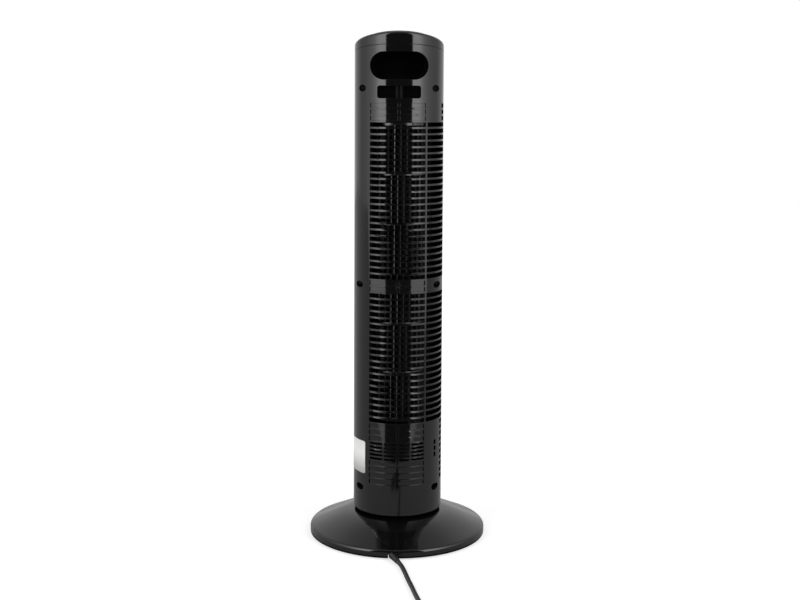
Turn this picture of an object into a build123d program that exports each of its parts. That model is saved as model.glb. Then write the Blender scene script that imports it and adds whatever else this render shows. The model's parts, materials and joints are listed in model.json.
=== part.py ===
"""Tower fan: a slotted column that swings on a round domed foot and blows air with a cross-flow wheel.

Frame: +Z up, the origin on the floor under the column's axis. The outlet faces -Y, the intake slots face +Y.
Azimuths are degrees round the column from +Y (straight behind) towards -X.
"""
import math
import os

from build123d import *

# ---------------------------------------------------------------- driving dimensions, mm and degrees
# Column
tower_radius = 67.0
shell_wall = 2.5
tower_bottom_z = 41.5
seam_gap = 0.2
foot_seam_gap = 0.6
bottom_chamfer = 1.2
cap_gap = 0.5

# Slanted top, higher behind: the roof plane and the flatter seam plane cross the axis at these heights
rim_mid_z = 745.0
roof_slope = 14.0
seam_mid_z = 732.5
seam_slope = 8.5
roof_thickness = 2.6
cap_edge_radius = 4.8
cap_lip_depth = 4.0
panel_radius = tower_radius - 14.0
panel_rise = 5.0
panel_thickness = 3.0
panel_edge_radius = 2.2

# Buttons and lenses in the panel
button_radius = 6.2
button_gap = 0.25
button_spacing = 19.0
button_count = 4
button_row_y = -14.0
button_rise = 1.0
button_travel = 1.2
button_flange = 1.3
lens_radius = 1.5
lens_spacing = 9.5
lens_count = 5
lens_row_y = 9.0

# Intake slots: rows at one pitch, counted down from the first open one
first_rib_z = 629.3
row_pitch = 9.353
rib_height = 2.8
upper_rows = (0, 24)
lower_rows = (27, 47)
band_rows = (25, 26)
blind_rows = (-3, -2, -1, 25, 26, 48, 49, 50, 54, 55, 56, 57)
blind_depth = 1.3
rear_start, rear_end = -39.5, 36.3
side_start, side_end = 38.8, 82.5
edge_start, edge_end = 70.5, 82.0
band_gap = 1.6
spine_width = 3.6
spine_depth = 1.6
edge_rows_top = (-3, -1)
edge_rows_bottom = (48, 57)
pinhole_rows = (51, 53)
pinhole_start, pinhole_end = 54.5, 58.8

# Motor vents, finer slots in four columns
vent_count = 5
vent_pitch = 5.7
vent_height = 3.2
vent_top_z = 151.6
vent_columns = ((-38.0, -19.5), (-17.5, -2.2), (2.2, 15.5), (17.8, 36.0))

# Screws that hold the shells together, driven from behind
screw_places = ((tower_radius - 13.0, 678.0), (tower_radius - 9.6, 386.0), (tower_radius - 11.0, 79.0))
screw_counterbore_radius = 5.1
screw_boss_radius = 6.6
screw_hole_radius = 1.8
screw_head_radius = 3.4
screw_head_height = 2.4
screw_core_radius = 1.5
screw_length = 16.0
counterbore_floor_y = 8.0
centre_screw_z = 386.0
centre_boss_radius = 4.6
centre_hole_radius = 2.2

# Grip recess and remote-control pocket in the rear shell
grip_z = 710.8
grip_width = 86.0
grip_height = 41.0
grip_inner_width = 75.0
grip_inner_height = 26.0
grip_inner_rise = 3.0
grip_straight_depth = 16.0
grip_lip_depth = 13.0
grip_floor_y = 18.0
pocket_z = 672.4
pocket_width = 64.0
pocket_height = 18.5
pocket_corner = 3.6
pocket_depth = 11.0
pocket_tongue_width = 13.5
liner_wall = 1.8
liner_gap = 0.1

# Outlet window and its grille in the front shell
window_half_angle = 41.0
window_bottom_z = 176.0
window_top_z = 634.0
grille_gap = 0.25
grille_frame = 4.0
grille_depth = 5.0
grille_bar_count = 13
grille_bar_width = 1.8
grille_hoop_count = 7
grille_hoop_height = 2.2
grille_inset = 0.6

# Cross-flow wheel
wheel_radius = 43.0
wheel_inner_radius = 32.5
wheel_bottom_z = 181.0
segment_count = 6
segment_pitch = 74.0
blade_count = 28
blade_thickness = 1.1
blade_lean = 11.0
blade_bow = 1.6
disc_thickness = 1.8
wheel_hub_radius = 11.0
wheel_hub_length = 14.0
stagger = 360.0 / blade_count / 2

# Air duct walls round the wheel
duct_gap = 4.0
duct_wall = 1.8
duct_start, duct_end = -172.0, -58.0
tongue_start, tongue_end = 98.0, 128.0
duct_post_wall = 2.0

# Bulkheads, bearing and motor
bulkhead_radius = tower_radius - 5.0
bulkhead_thickness = 3.0
upper_bulkhead_z = 634.5
lower_bulkhead_z = 164.0
shaft_radius = 4.0
running_clearance = 0.05
bush_radius = 8.0
bush_height = 9.0
bush_seat_wall = 2.5
motor_radius = 39.0
motor_bottom_z = 100.0
motor_top_z = 152.0
motor_boss_radius = 12.0
motor_boss_height = 6.0
stack_height = 26.0
stack_rise = 3.5
motor_post_radius = 4.5
motor_post_circle = 46.0
board_y = -32.0
board_side_gap = 52.5
power_board_z = 68.0

# Swivel
tower_floor_z = 57.0
tower_floor_thickness = 3.0
pivot_radius = 8.0
pivot_bore_radius = 5.5
pivot_top_z = 68.0
swivel_plate_z = 50.0
swivel_plate_thickness = 3.0
neck_radius = 50.0
neck_wall = 2.5
turntable_radius = tower_radius - 6.0
glide_outer_radius = turntable_radius - 1.0
glide_inner_radius = glide_outer_radius - 4.5
glide_gap = 0.05
retainer_radius = 15.0
retainer_thickness = 2.0
retainer_gap = 0.3

# Swing drive: a crank that turns between the pivot and the glide ring, with its pin over a slot
crank_thickness = 2.0
crank_width = 8.0
crank_pivot_gap = 1.0
crank_ring_gap = 2.5
crank_lift = 1.3
crank_pin_gap = 0.3
crank_pin_radius = 2.0
crank_shaft_radius = 2.5
slot_clearance = 0.8
swing_motor_radius = 20.0
swing_motor_height = 12.0
swing_motor_shift = 9.0

# Foot
base_radius = 133.0
base_wall = 2.5
foot_lift = 2.0
rim_top_z = 9.5
crease_radius = base_radius - 3.0
crease_z = 14.0
dome_top_z = 38.0
base_plate_thickness = 2.5
foot_pad_radius = 9.0
foot_pad_circle = base_radius - 21.0
foot_pad_count = 6
base_screw_circle = 38.0
base_screw_count = 4
turntable_sink = 2.0

# Mains cord
cord_diameter = 6.5
notch_x = 7.0
notch_radius = 5.6
notch_centre_z = 6.2
gland_length = 12.0
gland_radius = 4.8
gland_flange = 7.4
nose_length = 22.0
nose_tip_radius = 3.8
cord_z = cord_diameter / 2
cord_exit_y = base_radius - 0.6
cord_route = [
    (notch_x, cord_exit_y, notch_centre_z), (1.0, 147.0, 5.4), (-6.5, 165.0, 4.0), (-11.5, 190.0, cord_z),
    (-16.0, 219.0, cord_z), (-21.5, 248.0, cord_z), (-26.0, 276.0, cord_z), (-32.0, 304.0, cord_z),
    (-39.5, 332.0, cord_z), (-42.5, 359.0, cord_z), (-42.5, 384.0, cord_z),
]
coil_centre = (0.0, 384.0)
coil_inner_radius = 26.0
coil_outer_radius = 45.8
coil_low = 1.0
coil_height = 13.0
tie_width = 7.0
tie_wall = 0.8
tail_route = [
    (0.0, 426.5, 10.8), (22.0, 424.0, 9.8), (43.0, 413.0, 4.4), (57.0, 394.0, 3.8), (62.0, 371.0, 8.0),
]
plug_length = 36.0
plug_radius = 8.0
plug_pin_radius = 2.0
plug_pin_length = 19.0
plug_pin_spacing = 18.6

# ---------------------------------------------------------------- values that follow from them
inner_radius = tower_radius - shell_wall
roof_frame = Location((0, 0, rim_mid_z), (roof_slope, 0, 0))
seam_frame = Location((0, 0, seam_mid_z), (seam_slope, 0, 0))
wheel_top_z = wheel_bottom_z + segment_count * segment_pitch
shell_top_z = rim_mid_z + tower_radius
lower_bulkhead_top = lower_bulkhead_z + bulkhead_thickness
tower_floor_top = tower_floor_z + tower_floor_thickness
swivel_plate_top = swivel_plate_z + swivel_plate_thickness
board_x = board_side_gap - inner_radius
crank_near = pivot_radius + crank_pivot_gap + crank_width / 2
crank_far = glide_inner_radius - crank_ring_gap - crank_width / 2
crank_throw = (crank_far - crank_near) / 2
crank_offset = crank_near + crank_throw
swing_motor_x = crank_offset + swing_motor_shift
big = 4 * tower_radius


# ---------------------------------------------------------------- shared helpers
def save(name, shape):
    """Writes one named sub-part."""
    export_step(shape, f"parts/{name}.step")


def sector(r_in, r_out, start, end, z_low, z_high):
    """A piece of a ring between two azimuths and two heights."""
    outer = CenterArc((0, 0), r_out, 90 + start, end - start)
    inner = CenterArc((0, 0), r_in, 90 + start, end - start)
    sides = [Line(inner @ 0, outer @ 0), Line(inner @ 1, outer @ 1)]
    face = make_face([outer, inner, *sides])
    return Pos(0, 0, z_low) * extrude(face, z_high - z_low)


def tube(r_out, r_in, z_low, z_high):
    """A plain upright ring."""
    low = Pos(0, 0, z_low)
    return low * (extrude(Circle(r_out) - Circle(r_in), z_high - z_low))


def rod(radius, z_low, z_high, x=0.0, y=0.0):
    """An upright cylinder."""
    return Pos(x, y, (z_low + z_high) / 2) * Cylinder(radius, z_high - z_low)


def rod_y(radius, x, z, y_low, y_high):
    """A cylinder along Y."""
    return Pos(x, (y_low + y_high) / 2, z) * Rot(90, 0, 0) * Cylinder(radius, y_high - y_low)


def block(x_size, y_size, z_size, x, y, z):
    """A box about a centre."""
    return Pos(x, y, z) * Box(x_size, y_size, z_size)


def stadium_y(width, height, z, y_low, y_high):
    """A slot shape with round ends, drawn in the XZ plane and run along Y."""
    sketch = SlotOverall(width, height)
    return Pos(0, y_high, z) * Rot(90, 0, 0) * extrude(sketch, y_high - y_low)


def cord_arch():
    """The arched way out for the cord, through the foot's rear rim and its bottom."""
    y_low, y_high = base_radius - 20, base_radius + 5
    arch = rod_y(notch_radius, notch_x, notch_centre_z, y_low, y_high)
    return arch + block(2 * notch_radius, y_high - y_low, notch_centre_z, notch_x, (y_low + y_high) / 2,
                        notch_centre_z / 2)


def half_turned(points, rear=True):
    """Half a turned part from an (r, z) outline: the rear half, or the front one."""
    outline = Polyline(*[(r, 0, z) for r, z in points], close=True)
    half = revolve(make_face(outline), Axis.Z, 180)
    half = half if rear else Rot(0, 0, 180) * half
    return half - Box(big * 2, seam_gap, big * 8)


def both_sides(places):
    """Every (x, z) place together with its mirror image across the middle."""
    return [(sign * x, z) for x, z in places for sign in (-1, 1)]


def row_z(row):
    """The heights of a slot row's lower and upper edge."""
    top = first_rib_z - row * row_pitch - rib_height / 2
    return top - row_pitch + rib_height, top


def shell_outline():
    """The (r, z) outline of the column's wall."""
    return [
        (inner_radius, tower_bottom_z),
        (tower_radius - bottom_chamfer, tower_bottom_z),
        (tower_radius, tower_bottom_z + bottom_chamfer),
        (tower_radius, shell_top_z),
        (inner_radius, shell_top_z),
    ]


def above(frame, offset=0.0):
    """Everything above a slanted plane."""
    return frame * Pos(0, 0, big / 2 + offset) * Box(big, big, big)


def slab(frame, low, high):
    """Everything between two planes of a slanted frame."""
    return frame * Pos(0, 0, (low + high) / 2) * Box(big, big, high - low)


# ---------------------------------------------------------------- column shells
def slot_prism(start, end, low, high, y_low=5.0):
    """A square-ended opening between two azimuths and two heights, cut straight along Y."""
    x_start, x_end = (-tower_radius * math.sin(math.radians(angle)) for angle in (start, end))
    y_size = tower_radius + 2 - y_low
    middle_x, middle_y = (x_start + x_end) / 2, y_low + y_size / 2
    return block(x_start - x_end, y_size, high - low, middle_x, middle_y, (low + high) / 2)


def row_prisms(rows, start, end, y_low=5.0):
    """One opening for each slot row from the first to the last."""
    return [slot_prism(start, end, *row_z(row), y_low) for row in range(rows[0], rows[1] + 1)]


def slot_cutters():
    """Everything that is cut through the rear shell's wall to let air in."""
    cutters = []
    for rows in (upper_rows, lower_rows):
        cutters += row_prisms(rows, rear_start, rear_end, 30.0)
        cutters += row_prisms(rows, side_start, side_end)
    for rows in (edge_rows_top, edge_rows_bottom):
        cutters += row_prisms(rows, edge_start, edge_end)
    cutters += row_prisms(pinhole_rows, pinhole_start, pinhole_end)
    cutters += row_prisms(band_rows, rear_start, rear_start + band_gap, 30.0)
    cutters += row_prisms(band_rows, rear_end - band_gap, rear_end, 30.0)
    for number in range(vent_count):
        high = vent_top_z - number * vent_pitch
        cutters += [slot_prism(start, end, high - vent_height, high, 30.0) for start, end in vent_columns]
    return cutters


def blind_cutters():
    """Shallow grooves that carry the slot pattern on where the wall stays closed."""
    half_spine = math.degrees(spine_width / 2 / tower_radius)
    skin = tube(tower_radius + 3, tower_radius - blind_depth, tower_bottom_z, rim_mid_z)
    grooves = []
    for row in blind_rows:
        low, high = row_z(row)
        grooves.append(slot_prism(rear_start, -half_spine, low, high, 30.0) & skin)
        grooves.append(slot_prism(half_spine, rear_end, low, high, 30.0) & skin)
    return grooves


def shell_posts(side):
    """Screw posts on the inside of a shell; side is +1 for the rear one and -1 for the front one."""
    posts = []
    for x, z in both_sides(screw_places):
        y_low, y_high = sorted((side * seam_gap / 2, side * math.sqrt(tower_radius**2 - x**2)))
        posts.append(rod_y(screw_boss_radius, x, z, y_low, y_high))
    return posts


def make_rear_shell():
    shell = half_turned(shell_outline())
    spine_y = inner_radius - spine_depth / 2 + 0.2
    spine_height = first_rib_z - row_z(lower_rows[1])[0] + row_pitch
    spine_middle = first_rib_z - spine_height / 2 + rib_height
    spine = block(spine_width, spine_depth, spine_height, 0, spine_y, spine_middle)
    centre_boss = rod_y(centre_boss_radius, 0, centre_screw_z, inner_radius - 6, tower_radius)
    shell = shell + spine
    shell = shell - slot_cutters()
    shell = shell - blind_cutters()
    keep = rod(tower_radius, tower_bottom_z, shell_top_z)
    shell = shell + [post & keep for post in shell_posts(1)] + (centre_boss & keep)
    cuts = [rod_y(centre_hole_radius, 0, centre_screw_z, inner_radius - 8, tower_radius + 1)]
    for x, z in both_sides(screw_places):
        cuts.append(rod_y(screw_counterbore_radius, x, z, counterbore_floor_y, tower_radius))
        cuts.append(rod_y(screw_hole_radius, x, z, -1, counterbore_floor_y + 1))
    cuts.append(stadium_y(grip_width, grip_height, grip_z, 20, tower_radius + 5))
    pocket = Pos(0, 40, pocket_z) * Rot(90, 0, 0)
    pocket_sketch = RectangleRounded(pocket_width, pocket_height, pocket_corner)
    cuts.append(pocket * Pos(0, 0, -40) * extrude(pocket_sketch, 40))
    return shell - cuts - above(seam_frame, -cap_gap / 2)


def make_front_shell():
    shell = half_turned(shell_outline(), rear=False)
    keep = rod(inner_radius + 0.5, tower_bottom_z, shell_top_z)
    shell = shell + [post & keep for post in shell_posts(-1)]
    window = Rot(0, 0, 180) * sector(
        inner_radius - 12, tower_radius + 1, -window_half_angle, window_half_angle,
        window_bottom_z, window_top_z,
    )
    pilots = [rod_y(screw_core_radius, x, z, -screw_length, 1) for x, z in both_sides(screw_places)]
    return shell - window - pilots - above(seam_frame, -cap_gap / 2)


def make_front_grille():
    """A frame with upright bars and hoops behind them, in the outlet window."""
    edge = math.degrees(grille_gap / tower_radius)
    half = window_half_angle - edge
    side = math.degrees(grille_frame / tower_radius)
    r_out = tower_radius - grille_inset
    r_in = r_out - grille_depth
    low, high = window_bottom_z + grille_gap, window_top_z - grille_gap
    frame = sector(r_in, r_out, -half, half, low, high)
    frame = frame - sector(
        r_in - 1, r_out + 1, side - half, half - side, low + grille_frame, high - grille_frame
    )
    step = 2 * (half - side) / (grille_bar_count + 1)
    bars = [
        Rot(0, 0, side - half + step * (n + 1))
        * block(grille_bar_width, grille_depth - 1, high - low - grille_frame,
                0, (r_in + r_out) / 2, (low + high) / 2)
        for n in range(grille_bar_count)
    ]
    hoop_step = (high - low) / (grille_hoop_count + 1)
    hoops = [
        sector(r_in + 0.2, r_in + 2.0, side - half - 1, half - side + 1,
               low + hoop_step * (n + 1) - grille_hoop_height / 2,
               low + hoop_step * (n + 1) + grille_hoop_height / 2)
        for n in range(grille_hoop_count)
    ]
    return Rot(0, 0, 180) * (frame + bars + hoops)


# ---------------------------------------------------------------- top
def make_top_cap():
    body = rod(tower_radius, rim_mid_z - big / 2, rim_mid_z + big / 2) - above(roof_frame)
    rim = body.edges().group_by(Axis.Z)[-1].sort_by(SortBy.LENGTH)[-1]
    body = fillet(rim, cap_edge_radius)
    hollow = rod(inner_radius, rim_mid_z - big, rim_mid_z + big) - above(roof_frame, -roof_thickness)
    low, high = seam_mid_z - tower_radius, seam_mid_z + tower_radius
    lip = tube(inner_radius - 0.15, inner_radius - 1.9, low, high) & slab(seam_frame, -cap_lip_depth, 3.0)
    root = tube(inner_radius + 0.5, inner_radius - 1.9, low, high) & slab(seam_frame, 1.0, 3.0)
    skirt = body - hollow - (seam_frame * Pos(0, 0, cap_gap / 2 - big) * Box(big, big, 2 * big))
    seat = roof_frame * Pos(0, 0, big / 2 - panel_thickness + 1.8) * Cylinder(panel_radius + 0.2, big)
    window = roof_frame * Cylinder(panel_radius - 6, 30)
    return skirt + lip + root - seat - window


def button_places():
    """Where the buttons stand on the roof, from -X to +X."""
    first = -(button_count - 1) / 2 * button_spacing
    return [(first + n * button_spacing, button_row_y) for n in range(button_count)]


def lens_places():
    first = -(lens_count - 1) / 2 * lens_spacing
    return [(first + n * lens_spacing, lens_row_y) for n in range(lens_count)]


def make_control_panel():
    """A low turned lid, open below, with the button holes."""
    bottom = 1.8 - panel_thickness
    lid = Pos(0, 0, (panel_rise + bottom) / 2) * Cylinder(panel_radius, panel_rise - bottom)
    lid = fillet(lid.edges().group_by(Axis.Z)[-1], panel_edge_radius)
    hollow_top = panel_rise - panel_thickness
    lid = lid - Pos(0, 0, hollow_top - 10) * Cylinder(panel_radius - 6.5, 20)
    holes = [Pos(x, y, 0) * Cylinder(button_radius + button_gap, 20) for x, y in button_places()]
    holes += [Pos(x, y, 0) * Cylinder(lens_radius, 20) for x, y in lens_places()]
    return roof_frame * (lid - holes)


def make_button(x, y):
    """A stepped push button: a cap that stands proud, and a flange that stops it from below."""
    under = panel_rise - panel_thickness - 0.1
    top = panel_rise + button_rise
    cap = Pos(x, y, (under + top) / 2) * Cylinder(button_radius, top - under)
    cap = fillet(cap.edges().group_by(Axis.Z)[-1], 0.8)
    flange = Pos(x, y, under - button_flange / 2) * Cylinder(button_radius + 1.4, button_flange)
    stem = Pos(x, y, under - button_flange - 1.5) * Cylinder(1.6, 3.0)
    return roof_frame * (cap + flange + stem)


def board_top():
    """How far under the rim plane the button board's face lies."""
    stem_end = panel_rise - panel_thickness - 0.1 - button_flange - 3.0
    return stem_end - button_travel - 3.2


def make_button_board():
    """The board under the panel, with one switch for each button."""
    board = Pos(0, 0, board_top() - 0.8) * Cylinder(panel_radius - 9, 1.6)
    switches = [
        Pos(x, y, board_top() + 1.4) * Box(6.2, 6.2, 2.8) for x, y in button_places()
    ]
    return roof_frame * (board + switches)


def make_board_posts():
    """Four pillars that hold the board under the roof."""
    posts = []
    for angle in range(45, 360, 90):
        x, y = (panel_radius - 3.5) * math.cos(math.radians(angle)), \
               (panel_radius - 3.5) * math.sin(math.radians(angle))
        low = board_top() - 3.0
        post = Pos(x, y, (low - roof_thickness) / 2) * Cylinder(2.6, -roof_thickness - low)
        toe_x, toe_y = x * 0.9, y * 0.9
        toe = Pos(toe_x, toe_y, low + 0.7) * Rot(0, 0, angle) * Box(11, 5, 1.4)
        posts.append(roof_frame * (post + toe))
    return Compound(children=posts)


def make_lenses():
    pin = Cylinder(lens_radius - 0.03, panel_thickness)
    pins = [roof_frame * Pos(x, y, panel_rise - panel_thickness / 2) * pin for x, y in lens_places()]
    return Compound(children=pins)


# ---------------------------------------------------------------- grip and pocket
def grip_cavity(margin=0.0):
    """The hand space: a straight mouth, a stretch that narrows upwards, and a deep recess."""
    throat_y = tower_radius - grip_straight_depth
    neck_y = throat_y - grip_lip_depth
    width, height = grip_width - 0.4 + 2 * margin, grip_height - 0.4 + 2 * margin
    inner_width, inner_height = grip_inner_width + 2 * margin, grip_inner_height + 2 * margin
    inner_z = grip_z + grip_inner_rise
    mouth = stadium_y(width, height, grip_z, throat_y - 0.01, tower_radius + 4)
    throat = Plane((0, throat_y, grip_z), x_dir=(1, 0, 0), z_dir=(0, -1, 0))
    neck = Plane((0, neck_y, inner_z), x_dir=(1, 0, 0), z_dir=(0, -1, 0))
    wide, slim = throat * SlotOverall(width, height), neck * SlotOverall(inner_width, inner_height)
    funnel = loft([wide.faces()[0], slim.faces()[0]])
    recess = stadium_y(inner_width, inner_height, inner_z, grip_floor_y - margin, neck_y + 0.01)
    return mouth + funnel + recess


def make_grip_cup():
    inside = rod(inner_radius - liner_gap, grip_z - grip_height, grip_z + grip_height)
    return (grip_cavity(liner_wall) & inside) - grip_cavity()


def make_remote_pocket():
    """A shallow tray behind the lower opening, with a springy tongue up its middle."""
    back_y = tower_radius - pocket_depth
    outer = Pos(0, back_y - liner_wall, pocket_z) * Rot(90, 0, 0)
    width, height = pocket_width + 2 * liner_wall, pocket_height + 2 * liner_wall
    tray = outer * Pos(0, 0, -30) * extrude(RectangleRounded(width, height, pocket_corner + liner_wall), 30)
    space = Pos(0, back_y, pocket_z) * Rot(90, 0, 0)
    opening = RectangleRounded(pocket_width, pocket_height, pocket_corner)
    hollow = space * Pos(0, 0, -30) * extrude(opening, 30)
    inside = rod(inner_radius - liner_gap, pocket_z - 30, pocket_z + 30)
    tray = (tray & inside) - hollow
    tongue = rod(pocket_tongue_width / 2, pocket_z - pocket_height / 2, pocket_z + pocket_height / 2,
                 0, back_y - 0.5)
    cut = block(40, 20, 60, 0, back_y - liner_wall - 10, pocket_z)
    return tray + (tongue - cut)


# ---------------------------------------------------------------- wheel, duct and motor
def make_wheel_segment():
    """One moulded length of the wheel: a ring with bowed blades hanging from it."""
    start = Vector(wheel_inner_radius + 0.8, 0)
    lean = math.radians(blade_lean)
    tip = Vector((wheel_radius - 0.8) * math.cos(lean), (wheel_radius - 0.8) * math.sin(lean))
    along = (tip - start).normalized()
    across = Vector(-along.Y, along.X)
    middle = (start + tip) / 2 + across * blade_bow
    half = across * (blade_thickness / 2)
    outline = Polyline(*[(p.X, p.Y) for p in (
        start - half, middle - half, tip - half, tip + half, middle + half, start + half)], close=True)
    height = segment_pitch - disc_thickness
    blade = extrude(make_face(outline), height + 0.3)
    ring = tube(wheel_radius, wheel_inner_radius, height, segment_pitch)
    blades = [Rot(0, 0, n * 360 / blade_count) * blade for n in range(blade_count)]
    return ring + blades


def make_wheel_segments():
    segment = make_wheel_segment()
    placed = [
        Pos(0, 0, wheel_bottom_z + n * segment_pitch) * Rot(0, 0, n * stagger) * segment
        for n in range(segment_count)
    ]
    return Compound(children=placed)


def make_wheel_end(z_low, hub_low, hub_high):
    """An end disc with its hub."""
    disc = rod(wheel_radius, z_low, z_low + disc_thickness)
    hub = rod(wheel_hub_radius, hub_low, hub_high)
    bore = rod(shaft_radius, hub_low - 1, hub_high + 1)
    return disc + hub - bore


def make_upper_bulkhead():
    plate = rod(bulkhead_radius, upper_bulkhead_z, upper_bulkhead_z + bulkhead_thickness)
    seat = rod(bush_radius + bush_seat_wall, upper_bulkhead_z, upper_bulkhead_z + bush_height + 3)
    bore = rod(bush_radius, upper_bulkhead_z + 2, upper_bulkhead_z + bush_height + 4)
    clear = rod(shaft_radius + 1.5, upper_bulkhead_z - 1, upper_bulkhead_z + 4)
    ribs = [
        Rot(0, 0, angle) * block(bulkhead_radius - 16, 1.8, 6, bulkhead_radius / 2 + 2, 0,
                                 upper_bulkhead_z + bulkhead_thickness + 2)
        for angle in range(0, 360, 60)
    ]
    keep_off = tube(big, bulkhead_radius, upper_bulkhead_z - 1, upper_bulkhead_z + 20)
    return plate + seat + ribs - bore - clear - keep_off - post_clearance()


def post_clearance():
    """Room for the shells' screw posts, cut out of anything that fills the column."""
    return [
        rod_y(screw_boss_radius + 0.6, x, z, -tower_radius, tower_radius)
        for x, z in both_sides(screw_places)
    ]


def make_bush():
    low = upper_bulkhead_z + 2
    return tube(bush_radius - 0.02, shaft_radius + running_clearance, low, low + bush_height)


def make_lower_bulkhead():
    plate = rod(bulkhead_radius, lower_bulkhead_z, lower_bulkhead_top)
    hole = rod(wheel_hub_radius + 3, lower_bulkhead_z - 1, lower_bulkhead_top + 1)
    collar = tube(wheel_hub_radius + 5, wheel_hub_radius + 3, lower_bulkhead_top, lower_bulkhead_top + 5)
    posts = [
        rod(motor_post_radius, motor_top_z - 12, lower_bulkhead_z, *at)
        for at in circle_points(motor_post_circle, 4, 45)
    ]
    return plate - hole + collar + posts


def circle_points(radius, count, start=0.0):
    """Evenly spaced points on a circle."""
    angles = [math.radians(start + n * 360 / count) for n in range(count)]
    return [(radius * math.cos(a), radius * math.sin(a)) for a in angles]


def make_duct():
    """The scroll wall on the closed side of the wheel; it carries the bulkheads."""
    low, high = lower_bulkhead_top, upper_bulkhead_z
    r_in = wheel_radius + duct_gap
    wall = sector(r_in, r_in + duct_wall, duct_start, duct_end, low, high)
    x, y = -(r_in + 0.6) * math.sin(math.radians(duct_end)), (r_in + 0.6) * math.cos(math.radians(duct_end))
    foot_x = inner_radius * 0.93
    post = block(foot_x - x, duct_post_wall, high - low, (foot_x + x) / 2, y, (low + high) / 2)
    inside = rod(inner_radius - 0.4, low, high)
    return ((wall + post) & inside) - post_clearance()


def make_tongue():
    """The short lip that parts intake from outlet on the other side."""
    r_in = wheel_radius + duct_gap
    low, high = lower_bulkhead_top, upper_bulkhead_z
    lip = sector(r_in, r_in + duct_wall, tongue_start, tongue_end, low, high)
    angle = math.radians((tongue_start + tongue_end) / 2)
    middle = (r_in + inner_radius) / 2
    x, y = -middle * math.sin(angle), middle * math.cos(angle)
    web = Pos(x, y, (low + high) / 2) * Rot(0, 0, (tongue_start + tongue_end) / 2) \
        * Box(duct_post_wall, inner_radius - r_in + 2, high - low)
    return ((lip + web) & rod(inner_radius - 0.4, low, high)) - post_clearance()


def make_motor_case():
    """Two pressed cups on a laminated stack, with four ears on the posts."""
    case = rod(motor_radius, motor_bottom_z, motor_top_z)
    case = fillet(case.edges().group_by(Axis.Z)[0] + case.edges().group_by(Axis.Z)[-1], 6.0)
    middle = (motor_bottom_z + motor_top_z) / 2
    low, high = middle - stack_height / 2, middle + stack_height / 2
    stack = tube(motor_radius + stack_rise, motor_radius - 4, low, high)
    bosses = rod(motor_boss_radius, motor_bottom_z - motor_boss_height, motor_top_z + motor_boss_height)
    bore = rod(shaft_radius + running_clearance, motor_bottom_z - 20, motor_top_z + 20)
    ear_z = motor_top_z - 14.5
    ears = [
        Rot(0, 0, angle) * block(16, 11, 2.5, motor_post_circle - 3, 0, ear_z)
        for angle in range(45, 360, 90)
    ]
    return case + stack + bosses + ears - bore


def make_motor_screws():
    head_low = motor_top_z - 15.75 - 2.4
    screws = []
    for at in circle_points(motor_post_circle, 4, 45):
        screws.append(rod(3.2, head_low, head_low + 2.3, *at))
    return Compound(children=screws)


def make_motor_shaft():
    return rod(shaft_radius, motor_bottom_z - motor_boss_height - 5, wheel_bottom_z + 2)


def make_top_shaft():
    return rod(shaft_radius, wheel_top_z - 8, upper_bulkhead_z + bush_height + 4)


def make_power_board():
    return block(50, 30, 1.6, board_x, board_y, power_board_z)


def make_capacitor():
    """The motor's run capacitor, on the board."""
    body = block(36, 18, 22, board_x, board_y, power_board_z + 0.8 + 11)
    return fillet(body.edges().filter_by(Axis.Z), 2.0)


def make_board_stand():
    """Legs that hold the power board over the column's floor."""
    legs = [
        rod(2.8, tower_floor_top, power_board_z - 0.8, board_x + x, board_y + y)
        for x in (-18, 18) for y in (-10, 10)
    ]
    return Compound(children=legs)


# ---------------------------------------------------------------- swivel
def make_tower_floor():
    plate = rod(inner_radius - 0.15, tower_floor_z, tower_floor_top)
    bore = rod(pivot_radius + running_clearance, tower_floor_z - 1, tower_floor_top + 1)
    drive_hole = rod(crank_shaft_radius + 1.5, tower_floor_z - 1, tower_floor_top + 1, crank_offset, 0)
    return plate - bore - drive_hole


def make_swivel_plate():
    """The fixed turntable: a plate on the foot's neck with the wiring tube and the crank's slot."""
    plate = rod(turntable_radius, swivel_plate_z, swivel_plate_top)
    pivot = rod(pivot_radius, swivel_plate_z - 8, pivot_top_z)
    bore = rod(pivot_bore_radius, swivel_plate_z - 9, pivot_top_z + 1)
    slot_width = 2 * (crank_pin_radius + slot_clearance)
    near, far = crank_offset - crank_throw - 4.0, crank_offset + crank_throw + 4.0
    slot = Pos((near + far) / 2, 0, swivel_plate_z - 1) * extrude(SlotOverall(far - near, slot_width), 6)
    holes = []
    for at in circle_points(base_screw_circle, base_screw_count, 45):
        holes.append(rod(2.1, swivel_plate_z - 1, swivel_plate_top + 1, *at))
        holes.append(rod(4.0, swivel_plate_top - turntable_sink, swivel_plate_top + 1, *at))
    return plate + pivot - bore - slot - holes


def make_swivel_screws():
    screws = []
    for x, y in circle_points(base_screw_circle, base_screw_count, 45):
        low = swivel_plate_top - turntable_sink
        head = rod(3.6, low, swivel_plate_top - 0.2, x, y)
        screws.append(head + rod(1.7, swivel_plate_z - 9, low + 0.2, x, y))
    return Compound(children=screws)


def make_glide_ring():
    return tube(glide_outer_radius, glide_inner_radius, swivel_plate_top, tower_floor_z - glide_gap)


def make_retainer():
    """A ring pressed on the pivot, over the column's floor, that keeps the column down."""
    low = tower_floor_top + retainer_gap
    return tube(retainer_radius, pivot_radius, low, low + retainer_thickness)


def make_swing_motor():
    """A flat geared motor over the column's floor, with its shaft down at the crank."""
    low = tower_floor_top
    can = rod(swing_motor_radius, low, low + swing_motor_height, swing_motor_x, 0)
    clear = rod(retainer_radius + 0.8, low - 1, low + swing_motor_height + 1)
    bore = rod(crank_shaft_radius + running_clearance, low - 1, low + 9, crank_offset, 0)
    return (can & rod(inner_radius - 0.6, low, low + 40)) - clear - bore


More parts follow.
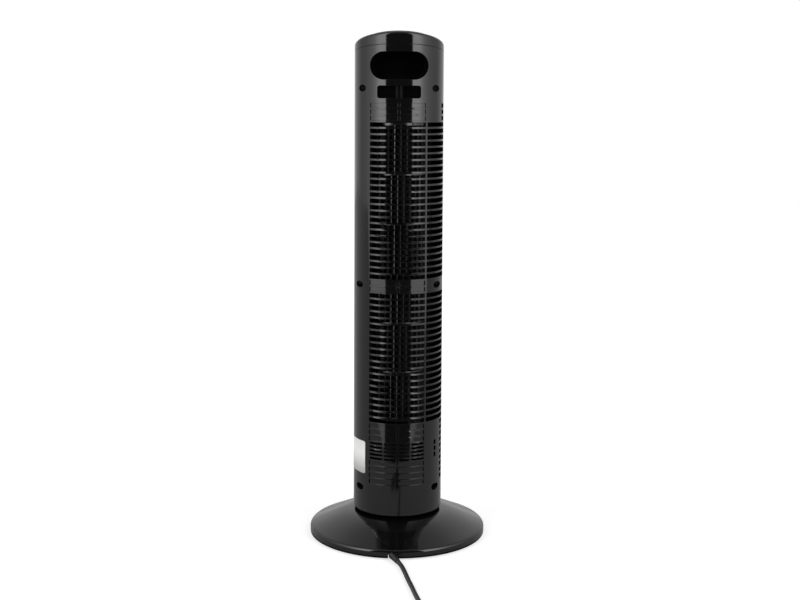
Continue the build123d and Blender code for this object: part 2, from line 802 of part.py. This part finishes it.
def make_swing_crank():
    """The crank arm with its shaft and its pin, at the middle of the swing; the pin ends over the slot."""
    z_low = swivel_plate_top + crank_lift
    arm_sketch = Pos(crank_offset + crank_throw / 2, 0) * SlotOverall(crank_throw + crank_width, crank_width)
    arm = Pos(0, 0, z_low) * extrude(arm_sketch, crank_thickness)
    shaft = rod(crank_shaft_radius, z_low, tower_floor_top + 7, crank_offset, 0)
    pin_x = crank_offset + crank_throw
    pin = rod(crank_pin_radius, swivel_plate_top + crank_pin_gap, z_low + 1, pin_x, 0)
    return arm + shaft + pin


# ---------------------------------------------------------------- foot
def dome_line(drop=0.0, inset=0.0):
    """The foot's outer line from its rim to the neck, or the same line set in and lowered."""
    edge = base_radius - inset
    rim = [(edge, 0, foot_lift + base_plate_thickness), (edge, 0, rim_top_z - drop)]
    start, end = crease_radius - inset / 2, neck_radius + 5
    rise = dome_top_z - crease_z
    inner_points = [
        (start + (end - start) * along, 0, crease_z - drop + rise * up)
        for along, up in ((0.4, 0.54), (0.72, 0.9))
    ]
    swell = Spline(
        (start, 0, crease_z - drop),
        *inner_points,
        (end, 0, dome_top_z - drop),
        tangents=[(-1, 0, 0.42), (-1, 0, 0.0)],
    )
    return rim, swell


def make_base_half(rear):
    """Half of the domed foot, with the neck that the turntable sits on."""
    rim, swell = dome_line()
    inner_rim, inner_swell = dome_line(base_wall, base_wall)
    neck_top = swivel_plate_z
    outer = Curve() + [Line(*rim), TangentArc(rim[1], swell @ 0, tangent=(0, 0, 1)), swell]
    up = Polyline(swell @ 1, (neck_radius + neck_wall, 0, dome_top_z), (neck_radius + neck_wall, 0, neck_top),
                  (neck_radius, 0, neck_top), (neck_radius, 0, dome_top_z - base_wall), inner_swell @ 1)
    inner = [inner_swell, Line(inner_swell @ 0, inner_rim[1]), Line(inner_rim[1], inner_rim[0])]
    close = Line(inner_rim[0], rim[0])
    profile = make_face(outer.edges() + up.edges() + [e for c in inner for e in c.edges()] + close.edges())
    half = revolve(profile, Axis.Z, 180)
    half = half if rear else Rot(0, 0, 180) * half
    shelf_z = swivel_plate_z - 4
    shelf = tube(neck_radius + 0.5, base_screw_circle - 5, shelf_z, swivel_plate_z)
    half_space = block(big * 2, big * 2, big, 0, big if rear else -big, 0)
    half = half + (shelf & half_space)
    for at in circle_points(base_screw_circle, base_screw_count, 45):
        half = half - rod(1.8, shelf_z - 1, swivel_plate_z + 1, *at)
    half = half - Box(big * 2, foot_seam_gap, big)
    return half - cord_arch() if rear else half


def make_base_plate():
    """The flat bottom of the foot, with feet recesses, and an arch of its own for the cord."""
    low = foot_lift
    plate = rod(base_radius - 0.3, low, low + base_plate_thickness)
    hole = rod(neck_radius - 10, low - 1, low + base_plate_thickness + 1)
    ribs = [
        Rot(0, 0, angle) * block(58, 2.0, 7.0, 90, 0, low + base_plate_thickness + 3.4)
        for angle in range(30, 360, 60)
    ]
    return plate + ribs - hole - cord_arch()


def make_foot_pads():
    pads = [rod(foot_pad_radius, 0, foot_lift, *at)
            for at in circle_points(foot_pad_circle, foot_pad_count, 0)]
    return Compound(children=pads)


# ---------------------------------------------------------------- fasteners
def make_side_screws():
    """Six screws that draw the rear shell to the front one."""
    screws = []
    for x, z in both_sides(screw_places):
        head = rod_y(screw_head_radius, x, z, counterbore_floor_y, counterbore_floor_y + screw_head_height)
        core = rod_y(screw_core_radius, x, z, 1.5 - screw_length, counterbore_floor_y + 0.2)
        screws.append(head + core)
    return Compound(children=screws)


def make_centre_screw():
    head = rod_y(centre_hole_radius - 0.1, 0, centre_screw_z, inner_radius - 3.5, inner_radius - 1.5)
    return head + rod_y(1.2, 0, centre_screw_z, inner_radius - 6, inner_radius - 3)


# ---------------------------------------------------------------- mains cord
def make_gland():
    """The flanged grommet that holds the cord in the foot's arch, with its tapered nose round the cord."""
    start, end = base_radius - gland_length, base_radius - 0.6
    sleeve = rod_y(gland_radius, notch_x, notch_centre_z, start, end)
    low, high = foot_lift + base_plate_thickness + 0.1, notch_centre_z + gland_radius + 0.4
    flange = block(2 * gland_flange, 3, high - low, notch_x, start + 1.5, (low + high) / 2)
    first_run = Plane(cord_route[0], z_dir=Vector(cord_route[1]) - Vector(cord_route[0]))
    nose = first_run * Pos(0, 0, nose_length / 2) * Cone(gland_radius, nose_tip_radius, nose_length)
    return sleeve + flange + nose


def path_radii(points):
    """The largest arc that each corner of a cord's route takes."""
    radii = []
    for a, b, c in zip(points, points[1:], points[2:]):
        before, after = Vector(b) - Vector(a), Vector(c) - Vector(b)
        turn = math.radians(before.get_angle(after))
        radii.append(0.45 * min(before.length, after.length) / math.tan(turn / 2))
    return radii


def make_cord(points, name):
    """A plain tube along straight runs joined by arcs."""
    radii = path_radii(points)
    path = FilletPolyline(*points, radius=radii)
    heading = (Vector(points[1]) - Vector(points[0])).normalized()
    section = Plane(points[0], z_dir=heading) * Circle(cord_diameter / 2)
    solid = sweep(section, path=path)
    share = solid.volume / (math.pi * cord_diameter**2 / 4 * path.length)
    print(name, "length %.1f" % path.length, "volume share %.4f" % share,
          "radii", [round(r) for r in radii])
    return solid


def make_coil():
    """The wound length of cord, as the ring that it fills."""
    return Pos(*coil_centre) * tube(coil_outer_radius, coil_inner_radius, coil_low, coil_low + coil_height)


def make_coil_tie():
    """A strap round the coil's far side."""
    depth = coil_outer_radius - coil_inner_radius + 0.4
    middle_y = coil_centre[1] + (coil_outer_radius + coil_inner_radius) / 2
    middle_z = coil_low + coil_height / 2
    strap = Box(tie_width, depth + 2 * tie_wall, coil_height + 2 * coil_low)
    return Pos(coil_centre[0], middle_y, middle_z) * (strap - Box(2 * tie_width, depth, coil_height))


def make_plug():
    """A two-pin plug body; the cord enters its narrow end."""
    body = Pos(0, 0, plug_length / 2) * Cone(4.6, plug_radius, plug_length)
    waist = block(2 * plug_radius + 8, 2 * plug_radius - 5, 12, 0, 0, plug_length - 6)
    pins = [rod(plug_pin_radius, plug_length - 2, plug_length + plug_pin_length, x, 0)
            for x in (-plug_pin_spacing / 2, plug_pin_spacing / 2)]
    return body + waist - pins, pins


def place_plug(shape):
    """Lays a plug piece on the floor at the tail's end, along the tail's last run."""
    x, y, _ = tail_route[-1]
    last = Vector(tail_route[-1]) - Vector(tail_route[-2])
    angle = math.degrees(math.atan2(last.Y, last.X))
    return Pos(x, y, plug_radius) * Rot(0, 0, angle) * Rot(0, 90, 0) * Rot(0, 0, 90) * shape


# ---------------------------------------------------------------- build
def main():
    os.makedirs("parts", exist_ok=True)
    save("rear_shell", make_rear_shell())
    save("front_shell", make_front_shell())
    save("front_grille", make_front_grille())
    save("top_cap", make_top_cap())
    save("control_panel", make_control_panel())
    for number, (x, y) in enumerate(button_places(), 1):
        save(f"button_{number}", make_button(x, y))
    save("button_board", make_button_board())
    save("board_posts", make_board_posts())
    save("indicator_lenses", make_lenses())
    save("grip_cup", make_grip_cup())
    save("remote_pocket", make_remote_pocket())
    save("wheel_segments", make_wheel_segments())
    save("wheel_lower_end", make_wheel_end(wheel_bottom_z - disc_thickness, wheel_bottom_z - wheel_hub_length,
                                           wheel_bottom_z))
    save("wheel_upper_end", make_wheel_end(wheel_top_z, wheel_top_z - wheel_hub_length, wheel_top_z + 4))
    save("motor_shaft", make_motor_shaft())
    save("top_shaft", make_top_shaft())
    save("upper_bulkhead", make_upper_bulkhead())
    save("lower_bulkhead", make_lower_bulkhead())
    save("bearing_bush", make_bush())
    save("air_duct", make_duct())
    save("duct_tongue", make_tongue())
    save("motor_case", make_motor_case())
    save("motor_screws", make_motor_screws())
    save("power_board", make_power_board())
    save("run_capacitor", make_capacitor())
    save("board_stand", make_board_stand())
    save("tower_floor", make_tower_floor())
    save("swivel_plate", make_swivel_plate())
    save("swivel_screws", make_swivel_screws())
    save("glide_ring", make_glide_ring())
    save("pivot_retainer", make_retainer())
    save("swing_motor", make_swing_motor())
    save("swing_crank", make_swing_crank())
    save("base_rear_half", make_base_half(True))
    save("base_front_half", make_base_half(False))
    save("base_plate", make_base_plate())
    save("foot_pads", make_foot_pads())
    save("side_screws", make_side_screws())
    save("centre_screw", make_centre_screw())
    save("cord_gland", make_gland())
    save("cord_run", make_cord(cord_route, "cord_run"))
    save("cord_coil", make_coil())
    save("coil_tie", make_coil_tie())
    save("cord_tail", make_cord(tail_route, "cord_tail"))
    body, pins = make_plug()
    save("plug_body", place_plug(body))
    save("plug_pins", Compound(children=[place_plug(pin) for pin in pins]))


main()
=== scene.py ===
"""Looks for the tower fan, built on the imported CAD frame. Metres, +Z up, the intake side facing +Y."""
import json
import math

import bpy
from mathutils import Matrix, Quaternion, Vector


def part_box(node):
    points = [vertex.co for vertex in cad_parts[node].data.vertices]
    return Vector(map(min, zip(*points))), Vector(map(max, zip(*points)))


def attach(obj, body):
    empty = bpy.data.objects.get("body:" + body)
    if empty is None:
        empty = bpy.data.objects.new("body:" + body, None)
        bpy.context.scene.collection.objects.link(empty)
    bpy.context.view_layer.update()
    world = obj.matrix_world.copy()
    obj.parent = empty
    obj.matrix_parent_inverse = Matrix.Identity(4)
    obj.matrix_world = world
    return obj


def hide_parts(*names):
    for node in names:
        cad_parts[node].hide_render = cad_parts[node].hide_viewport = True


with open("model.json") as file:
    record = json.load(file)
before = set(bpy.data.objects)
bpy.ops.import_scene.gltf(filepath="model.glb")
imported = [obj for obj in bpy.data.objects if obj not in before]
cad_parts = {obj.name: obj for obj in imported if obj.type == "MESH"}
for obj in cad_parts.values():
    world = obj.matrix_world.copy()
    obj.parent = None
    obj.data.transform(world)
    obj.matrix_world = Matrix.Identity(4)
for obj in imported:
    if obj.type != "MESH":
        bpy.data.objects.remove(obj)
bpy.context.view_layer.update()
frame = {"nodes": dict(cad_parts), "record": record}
scene = bpy.context.scene

# ---------------------------------------------------------------- sizes from the frame
tower_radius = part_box("rear_shell")[1].x
coil_low, coil_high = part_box("cord_coil")
MM = 0.001

# ---------------------------------------------------------------- camera
FOCAL_WIDTHS = 1.6192
CAMERA_PLACE = Vector((-0.0020, 1.9564, 0.6628))
CAMERA_PITCH, CAMERA_ROLL = 4.02, -0.29
CAMERA_SHIFT = -0.138


def make_camera():
    """The camera behind the fan, a little above its middle."""
    data = bpy.data.cameras.new("camera")
    data.lens = FOCAL_WIDTHS * data.sensor_width
    data.shift_y = CAMERA_SHIFT
    camera = bpy.data.objects.new("camera", data)
    camera.location = CAMERA_PLACE
    pitch = math.radians(CAMERA_PITCH)
    view_line = Vector((0, -math.cos(pitch), -math.sin(pitch)))
    camera.rotation_mode = "QUATERNION"
    roll = Quaternion(view_line, math.radians(CAMERA_ROLL))
    camera.rotation_quaternion = roll @ view_line.to_track_quat("-Z", "Y")
    scene.collection.objects.link(camera)
    scene.camera = camera


# ---------------------------------------------------------------- materials
EDGE_RADIUS = 0.0006


def new_material(name):
    """A node material with its principled shader."""
    material = bpy.data.materials.new(name)
    material.use_nodes = True
    return material, material.node_tree, material.node_tree.nodes["Principled BSDF"]


def add_noise(tree, scale, detail=3.0, stretch=(1, 1, 1)):
    """Noise in the object's own coordinates, stretched along an axis if asked."""
    place = tree.nodes.new("ShaderNodeTexCoord")
    mapping = tree.nodes.new("ShaderNodeMapping")
    mapping.inputs["Scale"].default_value = stretch
    noise = tree.nodes.new("ShaderNodeTexNoise")
    noise.inputs["Scale"].default_value = scale
    noise.inputs["Detail"].default_value = detail
    tree.links.new(place.outputs["Object"], mapping.inputs["Vector"])
    tree.links.new(mapping.outputs["Vector"], noise.inputs["Vector"])
    return noise.outputs["Fac"]


def add_range(tree, value, low, high):
    """Spreads a noise value over a range."""
    spread = tree.nodes.new("ShaderNodeMapRange")
    spread.inputs["From Min"].default_value = 0.3
    spread.inputs["From Max"].default_value = 0.7
    spread.inputs["To Min"].default_value = low
    spread.inputs["To Max"].default_value = high
    tree.links.new(value, spread.inputs["Value"])
    return spread.outputs["Result"]


def add_bump(tree, shader, height, strength, distance, edge=0.0):
    """A fine relief, over edges that look rounded by a small radius if one is given."""
    bump = tree.nodes.new("ShaderNodeBump")
    if edge:
        bevel = tree.nodes.new("ShaderNodeBevel")
        bevel.samples = 4
        bevel.inputs["Radius"].default_value = edge
        tree.links.new(bevel.outputs["Normal"], bump.inputs["Normal"])
    bump.inputs["Strength"].default_value = strength
    bump.inputs["Distance"].default_value = distance
    tree.links.new(height, bump.inputs["Height"])
    tree.links.new(bump.outputs["Normal"], shader.inputs["Normal"])


def add_colours(tree, shader, value, low, high):
    """Mottles the base colour between two close tones."""
    ramp = tree.nodes.new("ShaderNodeValToRGB")
    ramp.color_ramp.elements[0].position, ramp.color_ramp.elements[1].position = 0.35, 0.65
    ramp.color_ramp.elements[0].color = (*low, 1)
    ramp.color_ramp.elements[1].color = (*high, 1)
    tree.links.new(value, ramp.inputs["Fac"])
    tree.links.new(ramp.outputs["Color"], shader.inputs["Base Color"])


def plastic(name, low, high, rough, grain_scale, grain_depth, gloss=0.5, edge=0.0):
    """Moulded plastic: two close tones, a roughness that varies a little, and a fine grain."""
    material, tree, shader = new_material(name)
    add_colours(tree, shader, add_noise(tree, 30.0), low, high)
    tree.links.new(add_range(tree, add_noise(tree, 55.0), *rough), shader.inputs["Roughness"])
    add_bump(tree, shader, add_noise(tree, grain_scale, 2.0), 0.2, grain_depth, edge)
    shader.inputs["Specular IOR Level"].default_value = gloss
    return material


def metal(name, low, high, rough, stretch):
    """Turned or brushed metal: fine lines across the stretch."""
    material, tree, shader = new_material(name)
    lines = add_noise(tree, 180.0, 4.0, stretch)
    add_colours(tree, shader, lines, low, high)
    tree.links.new(add_range(tree, lines, *rough), shader.inputs["Roughness"])
    add_bump(tree, shader, lines, 0.15, 0.0002)
    shader.inputs["Metallic"].default_value = 1.0
    return material


def make_materials():
    """One material for each of the record's slots."""
    around, along = (1, 1, 12), (1, 12, 1)
    return {
        "gloss_black": plastic("gloss_black", (0.0016, 0.0016, 0.0017), (0.0026, 0.0026, 0.0028),
                               (0.06, 0.09), 260.0, 0.00001, edge=EDGE_RADIUS),
        "button_black": plastic("button_black", (0.014, 0.014, 0.015), (0.02, 0.02, 0.021),
                                (0.28, 0.36), 900.0, 0.0001),
        # Painted shade: the liner of the hollows, such as the grip's cup, gets a near-black tone and a weak
        # specular, so that they look as dark as their shade.
        "liner_black": plastic("liner_black", (0.001, 0.001, 0.0011), (0.002, 0.002, 0.0021),
                               (0.3, 0.4), 1400.0, 0.0002, gloss=0.06, edge=EDGE_RADIUS),
        "inner_plastic": plastic("inner_plastic", (0.002, 0.002, 0.002), (0.004, 0.004, 0.004),
                                 (0.4, 0.5), 700.0, 0.0002, gloss=0.15),
        "wheel_plastic": plastic("wheel_plastic", (0.009, 0.009, 0.0095), (0.014, 0.014, 0.0145),
                                 (0.2, 0.28), 500.0, 0.0001, gloss=0.7),
        "lens_clear": plastic("lens_clear", (0.35, 0.4, 0.4), (0.42, 0.47, 0.47),
                              (0.1, 0.16), 800.0, 0.00005),
        "circuit_board": plastic("circuit_board", (0.01, 0.06, 0.025), (0.016, 0.09, 0.04),
                                 (0.35, 0.5), 1200.0, 0.0001),
        "capacitor_case": plastic("capacitor_case", (0.34, 0.34, 0.32), (0.4, 0.4, 0.38),
                                  (0.35, 0.45), 600.0, 0.0001),
        "steel": metal("steel", (0.32, 0.32, 0.33), (0.45, 0.45, 0.46), (0.25, 0.4), around),
        "screw_steel": metal("screw_steel", (0.2, 0.2, 0.21), (0.3, 0.3, 0.31), (0.3, 0.45), along),
        "sintered_bronze": metal("sintered_bronze", (0.3, 0.19, 0.08), (0.42, 0.28, 0.13),
                                 (0.35, 0.5), around),
        "slick_plastic": plastic("slick_plastic", (0.58, 0.57, 0.54), (0.66, 0.65, 0.62),
                                 (0.3, 0.4), 500.0, 0.0001),
        "swing_motor_tin": metal("swing_motor_tin", (0.4, 0.4, 0.4), (0.5, 0.5, 0.5), (0.22, 0.34), around),
        "foot_rubber": plastic("foot_rubber", (0.012, 0.012, 0.012), (0.02, 0.02, 0.02),
                               (0.7, 0.85), 1500.0, 0.0003),
        "cord_jacket": plastic("cord_jacket", (0.008, 0.008, 0.0085), (0.014, 0.014, 0.015),
                               (0.32, 0.42), 900.0, 0.0001),
        "pin_brass": metal("pin_brass", (0.42, 0.38, 0.27), (0.55, 0.5, 0.36), (0.2, 0.32), along),
    }


def dress_frame(materials):
    """Gives every CAD node the material of its slot, and the motor's steel case a near-black tone as painted
    shade.
    """
    # Painted shade: the motor's steel case gets a near-black tone and a weak specular, standing in for the
    # dark inside the tower behind the vents.
    painted_shade = plastic("motor_painted_shade", (0.003, 0.003, 0.003), (0.005, 0.005, 0.005),
                      (0.45, 0.55), 500.0, 0.0001, gloss=0.15)
    for entry in frame["record"]["subparts"]:
        node = frame["nodes"][entry["node"]]
        is_motor = entry["node"] == "motor_case"
        for place in node.material_slots:
            place.material = painted_shade if is_motor else materials[entry["material_slot"]]


# ---------------------------------------------------------------- mains cord
CORD_DIAMETER = 6.5
STRAND_STEP = 6.6
COIL_TURNS = 6.25
TURN_POINTS = 16
LANE_CHANGE = 0.3
cord_route = [
    (7.0, 132.4, 6.2), (1.0, 147.0, 5.4), (-6.5, 165.0, 4.0), (-11.5, 190.0, 3.25),
    (-16.0, 219.0, 3.25), (-21.5, 248.0, 3.25), (-26.0, 276.0, 3.25), (-32.0, 304.0, 3.25),
    (-39.5, 332.0, 3.25), (-42.5, 359.0, 3.25),
]
tail_route = [(22.0, 424.0, 9.8), (43.0, 413.0, 4.4), (57.0, 394.0, 3.8), (62.0, 371.0, 8.0)]


def smooth(value):
    """An even start and stop between 0 and 1."""
    value = min(max(value, 0.0), 1.0)
    return value * value * (3 - 2 * value)


def coil_points():
    """Turns that wind inwards on the floor and outwards again on top of themselves."""
    centre = (coil_low + coil_high) / 2 / MM
    outer = coil_high.x / MM - CORD_DIAMETER / 2
    bottom, top = coil_low.z / MM + CORD_DIAMETER / 2, coil_high.z / MM - CORD_DIAMETER / 2
    lanes = [(0, bottom), (1, bottom), (2, bottom), (2, top), (1, top), (0, top), (0, top)]
    points = []
    for n in range(int(COIL_TURNS * TURN_POINTS) + 1):
        turn, part = divmod(n / TURN_POINTS, 1.0)
        lane, height = lanes[int(turn)]
        next_lane, next_height = lanes[min(int(turn) + 1, len(lanes) - 1)]
        mix = smooth((part - (1 - LANE_CHANGE)) / LANE_CHANGE)
        radius = outer - STRAND_STEP * (lane + (next_lane - lane) * mix)
        angle = math.pi - 2 * math.pi * (turn + part)
        radius /= math.cos(math.pi / TURN_POINTS) ** 0.5  # the curve runs a little inside its points
        points.append((centre.x + radius * math.cos(angle), centre.y + radius * math.sin(angle),
                       height + (next_height - height) * mix))
    return points


def make_cord(material):
    """The whole mains cord on one smooth curve, in place of its three solids."""
    curve = bpy.data.curves.new("mains_cord", "CURVE")
    curve.dimensions = "3D"
    curve.bevel_depth = CORD_DIAMETER / 2 * MM
    curve.bevel_resolution = 6
    curve.use_fill_caps = True
    route = cord_route + coil_points() + tail_route
    spline = curve.splines.new("NURBS")
    spline.points.add(len(route) - 1)
    for point, place in zip(spline.points, route):
        point.co = (*(value * MM for value in place), 1.0)
    spline.order_u = 3
    spline.use_endpoint_u = True
    spline.resolution_u = 6
    curve.materials.append(material)
    cord = bpy.data.objects.new("mains_cord", curve)
    scene.collection.objects.link(cord)
    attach(cord, "base")
    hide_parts("cord_run", "cord_coil", "cord_tail")


# ---------------------------------------------------------------- blank sticker
LABEL_START, LABEL_END = -46.0, -94.0
LABEL_LOW, LABEL_HIGH = 0.101, 0.150
LABEL_THICKNESS = 0.00015
LABEL_CORNER = 0.002
LABEL_STEPS = 24


def make_label(material):
    """The bare sticker that lies on the rear shell's smooth side."""
    radius = tower_radius + LABEL_THICKNESS
    rows = []
    for n in range(LABEL_STEPS + 1):
        share = n / LABEL_STEPS
        angle = math.radians(LABEL_START + (LABEL_END - LABEL_START) * share)
        arc = abs(math.radians(LABEL_END - LABEL_START)) * radius
        edge = min(share, 1 - share) * arc
        pull = LABEL_CORNER - math.sqrt(max(LABEL_CORNER**2 - max(LABEL_CORNER - edge, 0) ** 2, 0))
        x, y = -radius * math.sin(angle), radius * math.cos(angle)
        rows.append(((x, y, LABEL_LOW + pull), (x, y, LABEL_HIGH - pull)))
    verts = [v for row in rows for v in row]
    faces = [(2 * n, 2 * n + 1, 2 * n + 3, 2 * n + 2) for n in range(LABEL_STEPS)]
    mesh = bpy.data.meshes.new("blank_label")
    mesh.from_pydata(verts, [], faces)
    mesh.shade_smooth()
    mesh.materials.append(material)
    label = bpy.data.objects.new("blank_label", mesh)
    scene.collection.objects.link(label)
    thick = label.modifiers.new("thickness", "SOLIDIFY")
    thick.thickness = LABEL_THICKNESS
    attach(label, "tower")


# ---------------------------------------------------------------- studio
PAPER_TONE = 0.52
PAPER_GLOW = 0.62
PAPER_REACH = 6.0
PAPER_EDGE = 0.50
STUDIO_STRENGTH = 5.0
OVERHEAD_LEVEL = 0.085
SOFTBOX_TOP = (0.60, 0.96)
SOFTBOX_FOOT = (-0.19, -0.02)
FOOT_LEVEL, FULL_LEVEL = 0.27, 0.9
# Brightness round the horizon, by degrees from straight behind the fan: a dark gap, then a softbox that
# falls away
HORIZON = ((0, 0.012), (33.5, 0.012), (35.5, 0.86), (50, 0.86), (57, 0.72), (66, 0.45), (76, 0.32),
           (92, 0.2), (112, 0.13), (135, 0.15), (180, 0.16))


def link_math(tree, operation, first, second):
    """One math node; second is a socket or a number."""
    node = tree.nodes.new("ShaderNodeMath")
    node.operation = operation
    tree.links.new(first, node.inputs[0])
    if isinstance(second, (int, float)):
        node.inputs[1].default_value = second
    else:
        tree.links.new(second, node.inputs[1])
    return node.outputs["Value"]


def smooth_step(tree, value, reach, levels):
    """Goes softly from one level to the other over the reach."""
    step = tree.nodes.new("ShaderNodeMapRange")
    step.interpolation_type = "SMOOTHSTEP"
    step.inputs["From Min"].default_value, step.inputs["From Max"].default_value = reach
    step.inputs["To Min"].default_value, step.inputs["To Max"].default_value = levels
    tree.links.new(value, step.inputs["Value"])
    return step.outputs["Result"]


def horizon_level(tree, direction):
    """The studio's brightness in a direction along the horizon."""
    azimuth = link_math(tree, "ARCTAN2", direction.outputs["X"], direction.outputs["Y"])
    turned = tree.nodes.new("ShaderNodeMath")
    turned.operation = "ABSOLUTE"
    tree.links.new(azimuth, turned.inputs[0])
    share = link_math(tree, "DIVIDE", turned.outputs["Value"], math.pi)
    ramp = tree.nodes.new("ShaderNodeValToRGB")
    stops = ramp.color_ramp.elements
    while len(stops) < len(HORIZON):
        stops.new(0.5)
    for stop, (degrees, level) in zip(stops, HORIZON):
        stop.position = degrees / 180
        stop.color = (level, level, level, 1)
    tree.links.new(share, ramp.inputs["Fac"])
    return ramp.outputs["Color"]


def make_studio():
    """Two tall softboxes with a dark gap between them, dimmer at their feet, and a white backdrop."""
    world = bpy.data.worlds.new("studio")
    world.use_nodes = True
    scene.world = world
    tree = world.node_tree
    tree.nodes.clear()
    place = tree.nodes.new("ShaderNodeTexCoord")
    direction = tree.nodes.new("ShaderNodeSeparateXYZ")
    tree.links.new(place.outputs["Generated"], direction.inputs["Vector"])
    height = direction.outputs["Z"]
    ceiling = smooth_step(tree, height, SOFTBOX_FOOT, (FOOT_LEVEL, FULL_LEVEL))
    blend = tree.nodes.new("ShaderNodeMixRGB")
    tree.links.new(smooth_step(tree, height, SOFTBOX_TOP, (0.0, 1.0)), blend.inputs["Fac"])
    level = link_math(tree, "MINIMUM", horizon_level(tree, direction), ceiling)
    tree.links.new(level, blend.inputs["Color1"])
    blend.inputs["Color2"].default_value = (OVERHEAD_LEVEL, OVERHEAD_LEVEL, OVERHEAD_LEVEL, 1)
    room = tree.nodes.new("ShaderNodeBackground")
    room.inputs["Strength"].default_value = STUDIO_STRENGTH
    tree.links.new(blend.outputs["Color"], room.inputs["Color"])
    backdrop = tree.nodes.new("ShaderNodeBackground")
    backdrop.inputs["Color"].default_value = (1, 1, 1, 1)
    path = tree.nodes.new("ShaderNodeLightPath")
    mix = tree.nodes.new("ShaderNodeMixShader")
    out = tree.nodes.new("ShaderNodeOutputWorld")
    tree.links.new(path.outputs["Is Camera Ray"], mix.inputs["Fac"])
    tree.links.new(room.outputs["Background"], mix.inputs[1])
    tree.links.new(backdrop.outputs["Background"], mix.inputs[2])
    tree.links.new(mix.outputs["Shader"], out.inputs["Surface"])


def paper_material():
    """Matt paper that shines a little where the camera sees it, so that it is white and keeps the shadow."""
    material, tree, shader = new_material("paper")
    shader.inputs["Roughness"].default_value = 0.9
    shader.inputs["Specular IOR Level"].default_value = 0.1
    add_colours(tree, shader, add_noise(tree, 4.0), (PAPER_TONE - 0.01,) * 3, (PAPER_TONE + 0.01,) * 3)
    light = tree.nodes.new("ShaderNodeEmission")
    path = tree.nodes.new("ShaderNodeLightPath")
    both = tree.nodes.new("ShaderNodeAddShader")
    glow = link_math(tree, "MULTIPLY", path.outputs["Is Camera Ray"], PAPER_GLOW)
    tree.links.new(glow, light.inputs["Strength"])
    tree.links.new(shader.outputs["BSDF"], both.inputs[0])
    tree.links.new(light.outputs["Emission"], both.inputs[1])
    tree.links.new(both.outputs["Shader"], tree.nodes["Material Output"].inputs["Surface"])
    return material


def make_paper():
    """The sheet of paper that the fan stands on, which ends behind it."""
    mesh = bpy.data.meshes.new("paper")
    low, high = (-PAPER_REACH, -PAPER_REACH), (PAPER_REACH, PAPER_EDGE)
    corners = [(low[0], low[1], 0), (high[0], low[1], 0), (high[0], high[1], 0), (low[0], high[1], 0)]
    mesh.from_pydata(corners, [], [(0, 1, 2, 3)])
    mesh.materials.append(paper_material())
    paper = bpy.data.objects.new("paper", mesh)
    scene.collection.objects.link(paper)


# ---------------------------------------------------------------- build
make_camera()
materials = make_materials()
dress_frame(materials)
make_cord(materials["cord_jacket"])
label_paper = plastic("label_paper", (0.72, 0.72, 0.71), (0.76, 0.76, 0.75), (0.4, 0.5), 900.0, 0.00005)
make_label(label_paper)
make_paper()
make_studio()
scene.view_settings.view_transform = "Standard"
